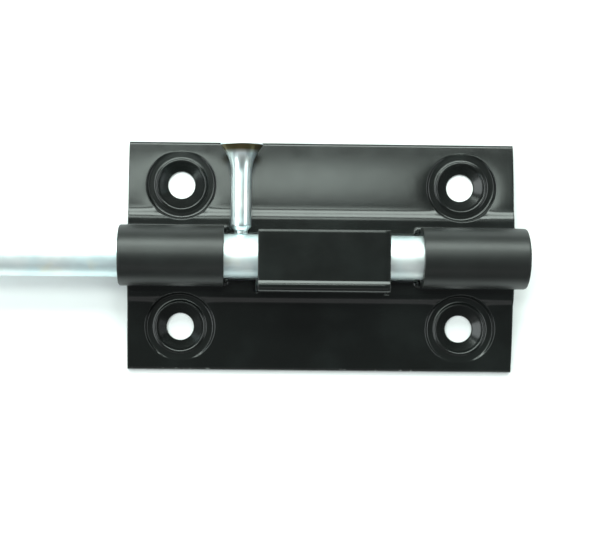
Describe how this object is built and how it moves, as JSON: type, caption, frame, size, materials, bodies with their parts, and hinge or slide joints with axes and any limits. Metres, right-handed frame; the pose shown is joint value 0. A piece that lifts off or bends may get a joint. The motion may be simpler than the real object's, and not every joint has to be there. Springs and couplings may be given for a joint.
{
  "type": "barrel bolt latch",
  "caption": "Surface-mounted barrel bolt: black pressed steel plate with two rolled barrels, a guard flap and countersunk seats, and a round zinc-plated rod with a flared thumb knob.",
  "frame": {"origin": "centre of the screw hole rectangle, on the mounting plane that the plate's back rests on", "axes": "+X along the rod towards its tail, so the bolt is thrown towards -X; +Y across the plate, towards the knob at rest; +Z out of the mounting plane"},
  "size_m": [0.1315, 0.0534, 0.0159],
  "materials": {
    "black_paint": "semi-gloss black paint",
    "zinc_plate": "bright zinc plate"
  },
  "bodies": {
    "base": {"pressed_plate": "black_paint"},
    "rod": {"bolt_rod": "zinc_plate"},
    "knob": {"thumb_knob": "zinc_plate"}
  },
  "joints": [
    {"name": "bolt_slide", "type": "slide", "parent": "base", "child": "rod", "axis": [1, 0, 0], "range_m": [0, 0.0375]},
    {"name": "knob_turn", "type": "hinge", "parent": "rod", "child": "knob", "pos_m": [-0.01875, 0, 0.00875], "axis": [1, 0, 0], "range_deg": [0, 180]}
  ]
}
